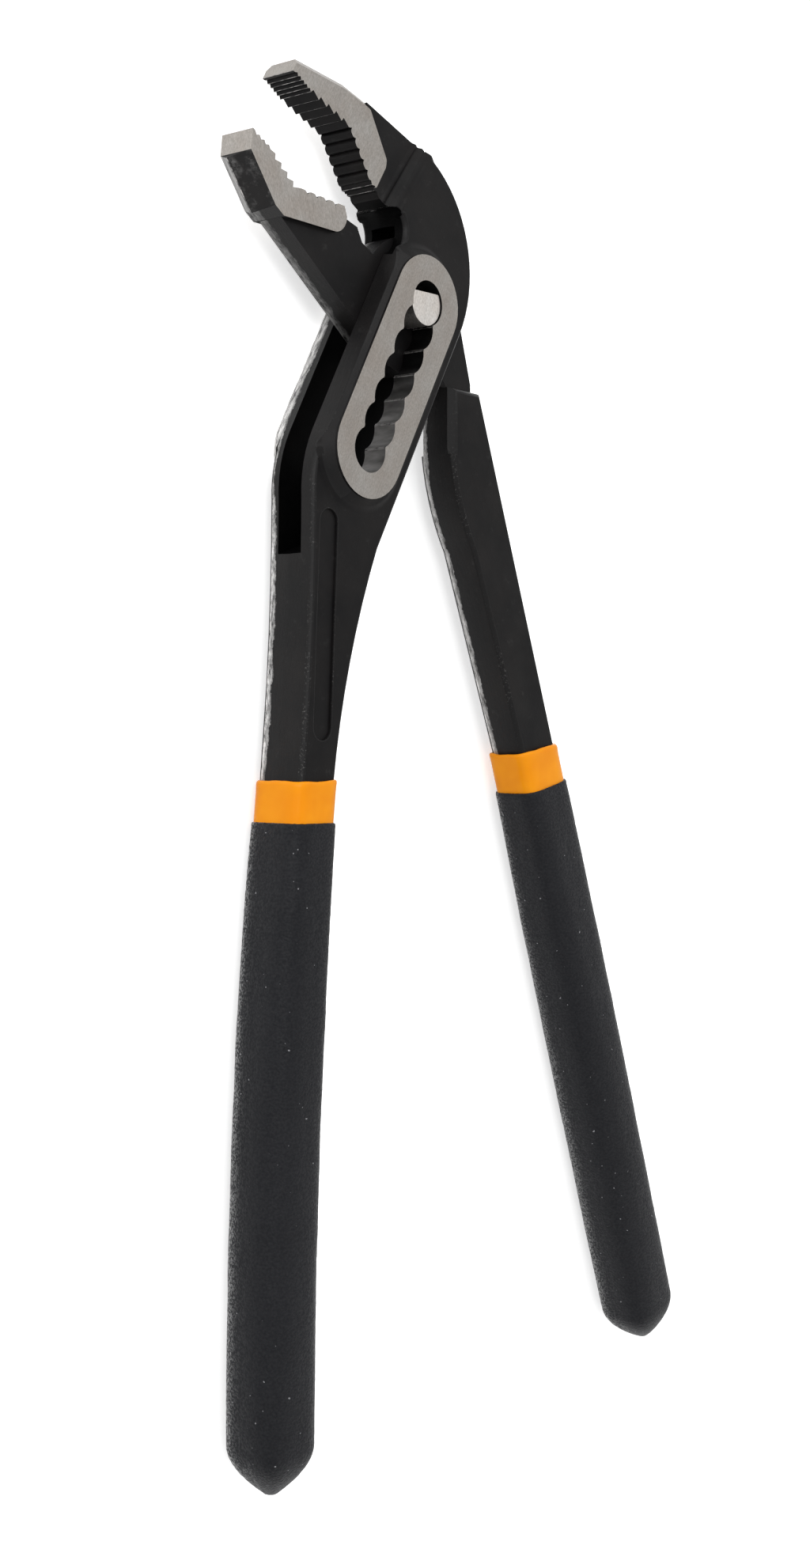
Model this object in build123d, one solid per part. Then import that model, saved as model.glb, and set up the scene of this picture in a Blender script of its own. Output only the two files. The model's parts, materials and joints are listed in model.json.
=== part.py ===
from build123d import *

import os
from math import atan2, cos, hypot, radians, sin

# Box-joint water-pump pliers of the 250 mm class. The outer lever carries the upper jaw and a box with a
# slot of seven scallops. The inner lever's flat tongue passes through the box, and a D-ended pin through
# both sets how far the jaws stand apart.
# The tool is drawn upright, on the tips of its handles, with X to the right, Y to the back and Z up. Its
# middle plane is Y = 0, and its halves mirror there. At the end it is laid on its back, as it rests on a
# bench. Every outline is drawn as (x, z) from the pin's centre, with the pin in the slot's top scallop.

# Overall sizes
pin_height = 208.6          # pin's centre above the tips
left_tip_reach = -33.7      # left tip beside the pin
right_tip_reach = 82.6      # right tip beside the pin
left_band_drop = 85.2       # top of the left amber band below the pin
right_band_drop = 82.6      # top of the right amber band below the pin

# Pin and slot
pin_radius = 3.95
pin_flat_height = 2.05      # the D's flat above the pin's centre
pin_recess = 0.3            # the pin's ends lie this far below the boss faces
scallop_clearance = 0.1     # between the pin and a scallop
bore_clearance = 0.05       # between the pin and the tongue's bore
slot_positions = 7
slot_pitch = 5.3
slot_lean = 60.2            # the slot's line above the horizontal
slot_neck = 6.4             # width between two scallops

# How far the inner lever opens about the pin, where the pin's flat lets it shift along the slot
opening_angle = 57.0

# Half thicknesses, from the middle plane
boss_half = 7.5
pedestal_half = 7.0         # the raised ground that the boss stands on
body_half = 5.2             # outer lever
handle_half = 4.0           # inner lever's handle
jaw_half = 3.6              # bright pads of both jaws
upper_web_half = 3.2        # dark part of the upper jaw
tongue_half = 2.6
tongue_play = 0.1           # each side of the tongue in the box

# Box, tongue and forging
boss_radius = 8.6
pedestal_flare = 1.9        # the pedestal's foot beyond the boss
left_wall = 10.2            # the box's left edge beside the slot's line
right_wall = 13.4           # the box's right edge beside the slot's line
tongue_radius = 12.3
tongue_room = 0.5           # around the tongue, at the ends of the box
forging_draft = 7.0
edge_break = 0.6
panel_depth = 0.5
panel_width = 4.4
jaw_back_break = 1.0        # bevel along the upper jaw's back
jaw_ridge = 1.7             # height of the lower jaw's back along the middle plane
shoulder_bevel = 1.9        # width of the bevel on the inner lever's shoulder

# Half widths of the steel inside the grips, at the band and at the steel's end
left_tang_top = 5.0
left_tang_end = 3.4
right_tang_top = 5.6
right_tang_end = 3.8

# Jaw teeth: how deep each kind is cut
fine_tooth = 0.45
step_tooth = 0.8
pipe_tooth = 0.55

# Coats on the handles
band_length = 7.3
band_corner = 2.6
left_face_coat = 0.7        # the amber coat on the left lever's front and back faces
left_side_coat = 0.5        # the amber coat on the left lever's sides, at the band
right_face_coat = 0.9
right_side_coat = 0.8
left_band_cover = 0.45      # the left grip's top beyond its band, on each side
right_band_cover = 0.5      # the right grip's top beyond its band, on each side
grip_width = 14.2
grip_face_coat = 1.1        # the grips' fullest depth beyond the left band, on each side
grip_top_corner = 3.2
grip_corner = 5.4
nose_roundness = 0.47       # corner radius of the grip's nose as a share of its width
nose_length = 8.5           # the grip's end closes over this length
nib_width = 2.4
coat_end = 10.5             # the under dip ends this far above the tip
coat_taper = 2.0            # the under dip's end is narrower than its band by this much
tang_end = 16.0             # the steel ends this far above the tip
left_axis_bow = 1.9         # sideways bow of the left handle's axis

slot_length = slot_pitch * (slot_positions - 1)
scallop_radius = pin_radius + scallop_clearance
gap_half = tongue_half + tongue_play
left_band_width = 2 * (left_tang_top + left_side_coat)
left_band_depth = 2 * (body_half + left_face_coat)
right_band_width = 2 * (right_tang_top + right_side_coat)
right_band_depth = 2 * (handle_half + right_face_coat)
grip_depth = left_band_depth + 2 * grip_face_coat


def on_slot(drop, side):
    """A point this far down the slot's line from the pin, and this far to the line's left."""
    lean = radians(slot_lean)
    return (-drop * cos(lean) - side * sin(lean), -drop * sin(lean) + side * cos(lean))


def polar(radius, angle, centre=(0, 0)):
    """A point at this radius and angle about a centre."""
    return (centre[0] + radius * cos(radians(angle)), centre[1] + radius * sin(radians(angle)))


def face_of(*edges):
    """The upright face inside these edges, drawn as (x, z)."""
    return Plane.XZ * make_face(list(edges))


def slab(face, half, draft=0.0):
    """The face made thick by the same amount to the front and to the back."""
    return extrude(face, amount=half, both=True, taper=draft)


def forged(face, half):
    """A slab with drafted sides, as a forging leaves its dies, and broken edges."""
    solid = slab(face, half - edge_break, forging_draft)
    for end_face in solid.faces().filter_by(Plane.XZ):
        solid += extrude(end_face, amount=edge_break, taper=45)
    return solid


def strip(start, end, radius):
    """A round-ended strip between two points."""
    length = hypot(end[0] - start[0], end[1] - start[1])
    along_x = (end[0] - start[0]) / length * radius
    along_z = (end[1] - start[1]) / length * radius
    start_left = (start[0] - along_z, start[1] + along_x)
    start_right = (start[0] + along_z, start[1] - along_x)
    end_left = (end[0] - along_z, end[1] + along_x)
    end_right = (end[0] + along_z, end[1] - along_x)
    return face_of(
        Line(start_left, end_left),
        ThreePointArc(end_left, (end[0] + along_x, end[1] + along_z), end_right),
        Line(end_right, start_right),
        ThreePointArc(start_right, (start[0] - along_x, start[1] - along_z), start_left),
    )


def slot_strip(radius):
    """A round-ended strip about the whole slot."""
    return strip((0, 0), on_slot(slot_length, 0), radius)


def tooth_row(start, end, count, depth, crest=0.5, land=0.0):
    """Points of a row of teeth, with crests on the line from start to end and roots to its left."""
    run = (end[0] - start[0], end[1] - start[1])
    scale = depth / hypot(*run)

    def point(part, sink):
        """A point part of the way along the row, and sunk by a share of the depth."""
        x = start[0] + run[0] * part - run[1] * scale * sink
        z = start[1] + run[1] * part + run[0] * scale * sink
        return (x, z)

    points = []
    for tooth in range(count):
        points.append(point(tooth / count, 1))
        for part in sorted({tooth + crest - land / 2, tooth + crest + land / 2}):
            points.append(point(part / count, 0))
    return points


# Axes of the handles, from the top of the amber band to the tip

left_band_top = (-26.7, -left_band_drop)
right_band_top = (39.4, -right_band_drop)
right_lean = atan2(right_tip_reach - right_band_top[0], pin_height - right_band_drop)
nib_lift = nib_width / 2 * sin(right_lean)      # the leaning nib's low edge is then level with the left tip
left_tip = (left_tip_reach, -pin_height)
right_tip = (right_tip_reach, nib_lift - pin_height)
left_middle_x = (left_band_top[0] + left_tip[0]) / 2 - left_axis_bow
left_middle = (left_middle_x, (left_band_top[1] + left_tip[1]) / 2)
left_axis = Plane.XZ * ThreePointArc(left_band_top, left_middle, left_tip)
right_axis = Plane.XZ * Line(right_band_top, right_tip)


def section_plane(axis, distance):
    """The plane square to an axis, this far along it, with its X across the handle, to the right."""
    part = distance / axis.length
    along = axis % part
    return Plane(origin=axis @ part, x_dir=along.cross(Vector(0, 1, 0)), z_dir=along)


def beside(axis, distance, offset):
    """The (x, z) point this far along an axis and this far to its right."""
    point = section_plane(axis, distance).from_local_coords(Vector(offset, 0, 0))
    return (point.X, point.Z)


def tang_side(axis, end, top_half, end_half):
    """One side of the steel inside a grip, which keeps to the axis as it narrows."""
    top_point, end_point = beside(axis, 0, top_half), beside(axis, end, end_half)
    if axis.geom_type == GeomType.LINE:
        return Line(top_point, end_point)
    return ThreePointArc(top_point, beside(axis, end / 2, (top_half + end_half) / 2), end_point)


def tang_edges(axis, top_half, end_half):
    """The steel inside a grip: down its right side, across its end and up its left side."""
    end = axis.length - tang_end
    right_end, left_end = beside(axis, end, end_half), beside(axis, end, -end_half)
    return [
        tang_side(axis, end, top_half, end_half),
        Line(right_end, left_end),
        tang_side(axis, end, -top_half, -end_half),
    ]


# Outer lever

crown = (2.6, 28.6)             # where the upper jaw's back meets the box
throat_top = (-6.4, 16.6)       # where the upper jaw's teeth end at the box
upper_tip = (-31.0, 34.9)


def box_and_handle():
    """Side of the outer lever's thick part: box, handle and the steel inside the grip."""
    box_right, waist = on_slot(-3, -right_wall), on_slot(44, -right_wall)
    knuckle_low, knuckle_high = (-28.6, -36.5), on_slot(34, left_wall)
    throat_low = on_slot(-4, left_wall)
    tang_right, tang_left = beside(left_axis, 0, left_tang_top), beside(left_axis, 0, -left_tang_top)
    return face_of(
        ThreePointArc(crown, (16.2, 9.6), box_right),
        Line(box_right, waist),
        ThreePointArc(waist, (-17.3, -64.5), tang_right),
        *tang_edges(left_axis, left_tang_top, left_tang_end),
        ThreePointArc(tang_left, (-29.5, -61.0), knuckle_low),
        ThreePointArc(knuckle_low, (-28.0, -30.2), knuckle_high),
        Line(knuckle_high, throat_low),
        ThreePointArc(throat_low, (-3.9, 13.0), throat_top),
        Line(throat_top, crown),
    )


def upper_jaw():
    """Side of the upper jaw, with its teeth, running into the box."""
    fine_end, step_end = (-26.3, 32.0), (-16.6, 28.2)
    pipe_end, root = (-11.3, 20.0), (-8.3, 17.7)
    teeth = tooth_row(upper_tip, fine_end, count=6, depth=fine_tooth)[1:]
    teeth += tooth_row(fine_end, step_end, count=5, depth=step_tooth, crest=0.85)
    teeth += tooth_row(step_end, pipe_end, count=5, depth=pipe_tooth, land=0.55)
    teeth += tooth_row(pipe_end, root, count=3, depth=fine_tooth)
    inside_box = (4.0, 16.0)
    back = [(-12.6, 34.2), (-17.6, 35.7), (-29.6, 37.3)]
    return face_of(Polyline(upper_tip, *teeth, root, throat_top, inside_box, crown, *back, upper_tip))


def upper_pad():
    """Side of the upper jaw's bright pad, which stops short of the box."""
    box_side = [(-12.0, 40.0), (-11.7, 33.6), (-6.8, 24.8), (-7.0, 23.4), (-9.6, 19.3)]
    past_teeth = [(-40.0, 16.0), (-40.0, 40.0)]
    return upper_jaw() & face_of(Polyline(*box_side, *past_teeth, box_side[0]))


def make_upper_pad():
    """The upper jaw's bright pads, with the jaw's back broken towards both sides."""
    pad = slab(upper_pad(), jaw_half)
    back_edges = []
    for flat in pad.faces().filter_by(Plane.XZ):
        back_edges += [edge for edge in flat.edges() if edge.center().Z > upper_tip[1] and edge.length > 3]
    return chamfer(back_edges, jaw_back_break)


def tongue_gap():
    """The way through the box that the tongue needs in every scallop and at every opening."""
    lowest_pin = on_slot(slot_length, 0)
    reach = tongue_radius + tongue_room
    low_side = neck_side + opening_angle
    low_left = polar(26, low_side - 90, polar(reach + tongue_room, low_side, lowest_pin))
    low_middle = polar(reach + tongue_room, low_side, lowest_pin)
    low_right = polar(2 * reach, low_side, lowest_pin)
    top = reach + 2 * tongue_room
    return face_of(
        Polyline(low_left, low_middle, low_right, (40, low_right[1]), (40, top), (-30, top), low_left)
    )


def slot_cut():
    """Seven scallops on the slot's line, and the narrower way between them."""
    cut = slot_strip(slot_neck / 2)
    for position in range(slot_positions):
        x, z = on_slot(position * slot_pitch, 0)
        cut += Plane.XZ * (Pos(x, z) * Circle(scallop_radius))
    return cut


def make_pedestal():
    """Raised ground around the slot on the front face, cut off at the box's left side."""
    foot_half = body_half - edge_break
    slope = pedestal_flare / (pedestal_half - body_half)
    foot_radius = boss_radius + slope * (pedestal_half - foot_half)
    foot = Pos(0, -foot_half, 0) * slot_strip(foot_radius)
    top = Pos(0, -pedestal_half, 0) * slot_strip(boss_radius)
    ground = loft([foot.faces()[0], top.faces()[0]], ruled=True)
    above, below = -slot_length, 2 * slot_length
    wall_corners = [on_slot(above, left_wall), on_slot(below, left_wall)]
    far_corners = [on_slot(below, -2 * right_wall), on_slot(above, -2 * right_wall)]
    inside_wall = face_of(Polyline(*wall_corners, *far_corners, close=True))
    return ground & slab(inside_wall, pedestal_half, forging_draft)


def make_panel_cut():
    """Sunken panel on the front face of the outer lever's handle."""
    panel = strip((-23.9, -40.5), (-25.7, -76.0), panel_width / 2)
    return Pos(0, -body_half + panel_depth, 0) * extrude(panel, amount=boss_half)


def make_outer_lever():
    """Outer lever: drafted forging, upper jaw, bosses, box gap and slot."""
    lever = forged(box_and_handle(), body_half)
    lever += slab(upper_jaw() - upper_pad(), upper_web_half)
    lever += make_upper_pad()
    panel, pedestal = make_panel_cut(), make_pedestal()
    lever = lever - panel - mirror(panel, about=Plane.XZ)
    lever = lever + pedestal + mirror(pedestal, about=Plane.XZ)
    lever += slab(slot_strip(boss_radius), boss_half)
    lever -= slab(tongue_gap(), gap_half)
    return lever - slab(slot_cut(), boss_half + 1)


# Inner lever

neck_side = -128.0              # where the neck's lower edge runs off the tongue's round
notch_side = -49.0              # where the tongue's round meets the handle's shoulder
lower_tip = (-40.8, 23.3)
heel = (-18.0, 14.6)            # inner end of the lower jaw's teeth
ledge_right, ledge_left = (-20.2, 9.8), (-33.4, 10.2)
jaw_back = (-41.2, 19.7)        # outer corner of the lower jaw's tip
jaw_elbow = (-35.4, 11.6)
shoulder_left, shoulder_right = (10.9, -12.8), (20.2, -13.2)
hip = (10.9, -24.5)             # where the handle leaves the shoulder's upright edge


def tongue_and_neck():
    """Side of the flat tongue, with the neck that reaches into the lower jaw."""
    foot = polar(tongue_radius, neck_side)
    neck_end = polar(33.0, neck_side - 90, foot)
    right_start, right_top = polar(tongue_radius, 30), (15.7, -2.5)
    neck_top = polar(tongue_radius, 140)
    notch = polar(tongue_radius, notch_side)
    in_jaw = [(-33.0, 14.0), (-20.0, 14.0)]
    in_handle = [(18.4, -16.0), (13.0, -16.0)]
    return face_of(
        Polyline(foot, neck_end, *in_jaw, (-15.9, 12.6), (-13.6, 11.9), (-12.3, 9.4), neck_top),
        ThreePointArc(neck_top, polar(tongue_radius, 85), right_start),
        Polyline(right_start, right_top, (18.5, -12.0), *in_handle, shoulder_left, notch),
        ThreePointArc(notch, polar(tongue_radius, -90), foot),
    )


def inner_handle():
    """Side of the inner lever's handle, with its shoulder and the steel inside the grip."""
    bend = (17.8, -43.5)
    return face_of(
        Line(shoulder_left, shoulder_right),
        Line(shoulder_right, beside(right_axis, 0, right_tang_top)),
        *tang_edges(right_axis, right_tang_top, right_tang_end),
        Line(beside(right_axis, 0, -right_tang_top), bend),
        ThreePointArc(bend, (13.3, -34.5), hip),
        Line(hip, shoulder_left),
    )


def lower_pad():
    """Side of the lower jaw's bright pad, with its teeth."""
    pipe_end, step_start, fine_start = (-29.8, 15.6), (-30.6, 16.0), (-36.4, 21.0)
    heel_end = (-17.4, 12.8)
    teeth = tooth_row(heel, pipe_end, count=5, depth=pipe_tooth, land=0.5)[1:]
    teeth += tooth_row(step_start, fine_start, count=4, depth=step_tooth, crest=0.3)
    teeth += tooth_row(fine_start, lower_tip, count=4, depth=fine_tooth)
    return face_of(
        Polyline(heel, *teeth, lower_tip, jaw_back, jaw_elbow, ledge_left, ledge_right),
        ThreePointArc(ledge_right, (-18.2, 10.9), heel_end),
        Line(heel_end, heel),
    )


def make_jaw_ridge():
    """The lower jaw's back, a ridge along the middle plane that both sides slope away from."""
    run = Vector(jaw_elbow[0] - jaw_back[0], 0, jaw_elbow[1] - jaw_back[1])
    section = Plane(origin=(jaw_back[0], 0, jaw_back[1]), x_dir=run.cross(Vector(0, -1, 0)), z_dir=run)
    root = -1.0
    slopes = [(0, jaw_half), (jaw_ridge, 0), (0, -jaw_half)]
    profile = Polyline((root, jaw_half), *slopes, (root, -jaw_half), close=True)
    return extrude(section * make_face(profile), amount=run.length)


def make_shoulder_bevel():
    """The wide bevel cut from the shoulder's upright front edge, down to the tongue's face."""
    outside, front = hip[0] - 1, -handle_half - 0.1
    slope = [(hip[0], -tongue_half), (hip[0] + shoulder_bevel, front)]
    corner = Polyline((outside, -tongue_half), *slope, (outside, front), close=True)
    bevel = Pos(0, 0, hip[1] - 1) * make_face(corner)
    return extrude(bevel, amount=-hip[1])


def make_inner_lever():
    """Inner lever: lower jaw, tongue with the pin's bore, and handle."""
    lever = forged(inner_handle(), handle_half)
    bevel = make_shoulder_bevel()
    lever = lever - bevel - mirror(bevel, about=Plane.XZ)
    lever += slab(tongue_and_neck(), tongue_half)
    lever += slab(lower_pad(), jaw_half)
    lever += make_jaw_ridge()
    bore = Plane.XZ * Circle(pin_radius + bore_clearance)
    return lever - slab(bore, boss_half)


def make_pivot_pin():
    """Pin, round where it holds the tongue and D-shaped in the slot."""
    pin = slab(Plane.XZ * Circle(pin_radius), boss_half - pin_recess)
    flat = Pos(0, 0, pin_flat_height + pin_radius) * Box(4 * pin_radius, boss_half, 2 * pin_radius)
    for side in (-1, 1):
        pin -= Pos(0, side * (gap_half + boss_half / 2), 0) * flat
    return pin


# Coats on the handles

def under_dip_form(axis, width, depth):
    """Outer form of the amber first coat, from its band to near the tip."""
    end = axis.length - coat_end
    sections = []
    for part_way, taper in ((0, 0), (0.5, 0.3), (1, 1)):
        outline = RectangleRounded(width - coat_taper * taper, depth, band_corner)
        sections.append(section_plane(axis, end * part_way) * outline)
    return loft([section.faces()[0] for section in sections], ruled=True)


def grip_form(axis, band_width, band_depth, cover):
    """Outer form of the charcoal second coat: a long sleeve below the band, and a nose with a nib."""
    top_width, top_depth = band_width + 2 * cover, band_depth + 2 * cover
    rings = [(band_length, top_width, top_depth, grip_top_corner)]
    for part_way, swell in ((0.36, 0.55), (0.66, 1.0), (0.86, 0.95)):
        width = top_width + (grip_width - top_width) * swell
        depth = top_depth + (grip_depth - top_depth) * swell
        corner = grip_top_corner + (grip_corner - grip_top_corner) * swell
        rings.append((axis.length * part_way, width, depth, corner))
    for part_way, narrowing in ((0, 0.94), (0.35, 0.81), (0.68, 0.56), (0.89, 0.32)):
        width, depth = grip_width * narrowing, grip_depth * narrowing
        corner = nose_roundness * min(width, depth)
        rings.append((axis.length - nose_length * (1 - part_way), width, depth, corner))
    rings.append((axis.length, nib_width, nib_width, nib_width * nose_roundness))
    sections = []
    for distance, width, depth, corner in rings:
        sections.append(section_plane(axis, distance) * RectangleRounded(width, depth, corner))
    return loft([section.faces()[0] for section in sections], ruled=True)


outer_lever = make_outer_lever()
inner_lever = make_inner_lever()
left_form = under_dip_form(left_axis, left_band_width, left_band_depth)
right_form = under_dip_form(right_axis, right_band_width, right_band_depth)
left_cover = grip_form(left_axis, left_band_width, left_band_depth, left_band_cover)
right_cover = grip_form(right_axis, right_band_width, right_band_depth, right_band_cover)

pieces = {
    "outer_lever": outer_lever,
    "inner_lever": inner_lever,
    "pivot_pin": make_pivot_pin(),
    "left_under_dip": left_form - outer_lever,
    "right_under_dip": right_form - inner_lever,
    "left_grip": left_cover - left_form,
    "right_grip": right_cover - right_form,
}

# The tool is laid on its back, with its jaws to +Y and the origin under the middle of its box

whole = Compound(children=[Compound(piece.wrapped) for piece in pieces.values()]).bounding_box()
to_bench = Pos(-whole.center().X, -whole.center().Z, whole.max.Y) * Rot(X=-90)
print("pin's centre at", to_bench.position)

os.makedirs("parts", exist_ok=True)
for name, piece in pieces.items():
    export_step(to_bench * piece, f"parts/{name}.step")
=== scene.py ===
import json
import math

import bmesh
import bpy
from mathutils import Euler, Matrix, Vector, noise


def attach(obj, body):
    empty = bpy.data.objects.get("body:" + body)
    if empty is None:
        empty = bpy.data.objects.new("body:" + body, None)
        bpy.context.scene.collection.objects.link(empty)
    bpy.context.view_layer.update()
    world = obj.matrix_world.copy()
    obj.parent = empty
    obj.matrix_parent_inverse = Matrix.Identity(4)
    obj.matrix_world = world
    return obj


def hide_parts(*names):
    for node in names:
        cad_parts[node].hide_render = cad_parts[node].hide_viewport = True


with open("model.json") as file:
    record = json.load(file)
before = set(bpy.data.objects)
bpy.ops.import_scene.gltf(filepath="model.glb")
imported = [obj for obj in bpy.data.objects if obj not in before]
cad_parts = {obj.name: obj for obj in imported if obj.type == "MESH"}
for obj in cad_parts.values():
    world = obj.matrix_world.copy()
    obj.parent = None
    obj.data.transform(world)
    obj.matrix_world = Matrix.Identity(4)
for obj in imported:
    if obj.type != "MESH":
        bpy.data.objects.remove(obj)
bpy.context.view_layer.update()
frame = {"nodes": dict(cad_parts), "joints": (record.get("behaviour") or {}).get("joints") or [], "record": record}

# The pliers lie on their back, with the jaws towards +Y and the front face up. Sizes below are in
# millimetres, and points are (x, y) from the pin's centre in the tool's middle plane.
MM = 0.001
pin = Vector(frame["joints"][1]["pos_m"])

# Handle axes, from the top of the amber band to the tip
left_band_top, left_tip, left_bow = (-26.7, -85.2), (-33.7, -208.6), 1.9
right_band_top, right_tip, right_bow = (39.4, -82.6), (82.6, -208.2), 0.0
band_length = 7.3

# Coats: width across the handle, depth through it, and squareness of the section
left_band, right_band = (11.0, 11.8, 4.6), (12.8, 9.8, 4.6)
grip_swell, grip_top_squareness, nib = (14.4, 14.2, 2.5), 3.9, (2.4, 2.4, 2.0)

# Grips: thickness over the bands, length of the nose, part of the way down where a grip is fullest, and
# how much of its swell it loses below that
left_cover, right_cover, nose_length = 0.45, 0.5, 8.5
fullest_part, lost_swell = 0.72, 0.35

# Rings along a grip and along its nose, and points around each ring of a coat
grip_steps, nose_steps, ring_points = 170, 20, 128

# Rolled top edges of the coats: distance below the top, and growth of the section
band_bead = ((0.35, -1.4), (0.12, -0.8), (0.0, -0.42), (0.05, -0.16), (0.3, 0.02), (0.7, 0.06), (1.2, 0.03))
grip_lip = ((0.5, -1.3), (0.1, -0.55), (-0.05, -0.3), (0.05, -0.08), (0.35, 0.02))

# Sleeve of a band under the grip: where it starts below the band's top, and how far before the tip it ends
sleeve_start, sleeve_gap = 8, 10.5

# Lines that the dips left: tilt against the handle and rise, and how far down the coat they fade out
dip_line = {"left": (0.12, 0), "right": (-0.17, 2.0)}
dip_line_fade = 25

# Unevenness of the coats: height and waves per metre, and how far down a band its lip ripples
lip_ripple, ripple_rate, ripple_depth = 0.28, 330, 1.6
pebble_height, pebble_rate, coarse_part, coarse_rate = 0.045, 1900, 0.6, 900
lump_height, lump_rate = 0.09, 120

# Levers that the handles belong to
lever_of = {"left": "outer", "right": "inner"}

# Forged levers: half thicknesses, and the line where the upper jaw's dark web meets the box
body_half, jaw_half, boss_half = 5.2, 3.6, 7.5
handle_half, web_half, gap_half, edge_break = 4.0, 3.2, 2.7, 0.6
throat_top, crown = Vector((-6.4, 16.6)), Vector((2.6, 28.6))

# Lower jaw: where its ridged back ends, and how far that ridge lies behind the middle plane
jaw_back_low, jaw_back_end = 8, Vector((-30, 26))
back_ridge_shift = 0.9

# Step from the web up to the box, by distance across it: its reach, its low ridge and its rise
step_reach, step_cuts = (-2.5, 2.3), 17
low_ridge_at, low_ridge_width, low_ridge_height = -1.3, 0.5, 0.42
rise_start, rise_width = -0.5, 2.7

# Rounding of the levers' and the pin's edges
valley_round, ridge_round, flank_round, rib_round = 0.7, 0.22, 0.16, 0.3
crest_flat, back_ridge_round, cusp_flat, edge_round, pin_edge_round = 0.07, 0.16, 0.10, 0.12, 0.15

# Turn in degrees above which a tooth's edge is a crest and not a rib, and above which shading breaks
crest_degrees, shading_degrees = 62, 40

# Bounds of the finishes on the levers, and the least area of a ground tip in square millimetres
upper_tip, upper_pad, lower_tip = Vector((-28, 33)), Vector((-10, 30)), Vector((-40, 19))
throat_low, throat_high = Vector((-9, 7)), Vector((-1, 17.5))
gap_low, gap_high = -45, 14.5
ridged_back_x, ridged_back_low, ridged_back_high = -34, 10, 21
side_top, neck_low, teeth_low = 12, -12, 14
tip_area = 8

# Slot, which the pin's slide runs along
slot_joint = frame["record"]["behaviour"]["joints"][0]
slot_start, slot_end = Vector((0, 0)), Vector(slot_joint["axis"]).xy * slot_joint["range_m"][1] / MM
scallop_reach = 4.3

# Camera: place from the pin, and turn in degrees as if the tool stood on its handles. The photo's height and
# focal length are in pixels.
camera_place, camera_turn = (-287.71, -71.8, 244.38), (87.75, 0, -49.9)
photo_height, focal_pixels, film_height = 1982, 2600, 36


def place(x, y, z):
    """A point in the frame, in metres, from millimetres beside the pin."""
    return pin + Vector((x, y, z)) * MM


def from_pin(point):
    """Millimetres from the pin's centre to a point of the frame."""
    return (point - pin) / MM


# Shader helpers

def node_tools(tree):
    """Short ways to add nodes to a tree and to link them."""

    def add(kind, **settings):
        node = tree.nodes.new("ShaderNode" + kind)
        for key, value in settings.items():
            if key in node.inputs:
                node.inputs[key].default_value = value
            else:
                setattr(node, key, value)
        return node

    def link(source, target):
        tree.links.new(source, target)

    return add, link


def new_material(name):
    """A node material with its Principled shader, and short ways to add and link nodes."""
    material = bpy.data.materials.new(name)
    material.use_nodes = True
    shader = material.node_tree.nodes["Principled BSDF"]
    return material, shader, *node_tools(material.node_tree)


def grain_noise(add, link, scale, stretch=(1, 1, 1), turn=(0, 0, 0), detail=3.0, roughness=0.6):
    """Noise in the piece's own coordinates, scaled per metre, and drawn out along an axis where asked."""
    coordinates = add("TexCoord")
    turned = add("Mapping")
    turned.inputs["Rotation"].default_value = turn
    drawn_out = add("Mapping")
    drawn_out.inputs["Scale"].default_value = stretch
    texture = add("TexNoise")
    texture.inputs["Scale"].default_value = scale
    texture.inputs["Detail"].default_value = detail
    texture.inputs["Roughness"].default_value = roughness
    link(coordinates.outputs["Object"], turned.inputs["Vector"])
    link(turned.outputs["Vector"], drawn_out.inputs["Vector"])
    link(drawn_out.outputs["Vector"], texture.inputs["Vector"])
    return texture.outputs["Fac"]


def ramp(add, link, source, low, high, dark, bright):
    """Two colours blended where the source runs from low to high."""
    node = add("ValToRGB")
    node.color_ramp.elements[0].position = low
    node.color_ramp.elements[0].color = (*dark, 1)
    node.color_ramp.elements[1].position = high
    node.color_ramp.elements[1].color = (*bright, 1)
    link(source, node.inputs["Fac"])
    return node.outputs["Color"]


def span(add, link, source, low, high, new_low, new_high):
    """The source's values from low to high, moved to a new span."""
    node = add("MapRange")
    node.inputs["From Min"].default_value = low
    node.inputs["From Max"].default_value = high
    node.inputs["To Min"].default_value = new_low
    node.inputs["To Max"].default_value = new_high
    link(source, node.inputs["Value"])
    return node.outputs["Result"]


def blend(add, link, factor, first, second):
    """Two colours mixed by a factor."""
    node = add("Mix", data_type="RGBA")
    link(factor, node.inputs["Factor"])
    link(first, node.inputs[6])
    link(second, node.inputs[7])
    return node.outputs[2]


def multiplied(add, link, first, second):
    """Two colours multiplied."""
    node = add("Mix", data_type="RGBA", blend_type="MULTIPLY", Factor=1.0)
    link(first, node.inputs[6])
    link(second, node.inputs[7])
    return node.outputs[2]


def computed(add, link, operation, first, second):
    """Two values added, multiplied or otherwise put together."""
    node = add("Math", operation=operation)
    link(first, node.inputs[0])
    link(second, node.inputs[1])
    return node.outputs["Value"]


def axes_of(add, link, kind):
    """The x, y and z of a piece's coordinates of this kind."""
    coordinates = add("TexCoord")
    axes = add("SeparateXYZ")
    link(coordinates.outputs[kind], axes.inputs["Vector"])
    return axes.outputs


def seen_directly(add, link):
    """One for rays from the camera, in reflections and through clear things, and nought for other light."""
    path = add("LightPath")
    seen = path.outputs["Is Camera Ray"]
    for kind in ("Is Glossy Ray", "Is Transmission Ray"):
        seen = computed(add, link, "MAXIMUM", seen, path.outputs[kind])
    return seen


def bump(add, link, height, strength, distance, under=None):
    """A bump that follows a texture over a distance in metres, on top of another bump if one is given."""
    node = add("Bump")
    node.inputs["Strength"].default_value = strength
    node.inputs["Distance"].default_value = distance
    link(height, node.inputs["Height"])
    if under is not None:
        link(under, node.inputs["Normal"])
    return node.outputs["Normal"]


# Materials

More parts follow.
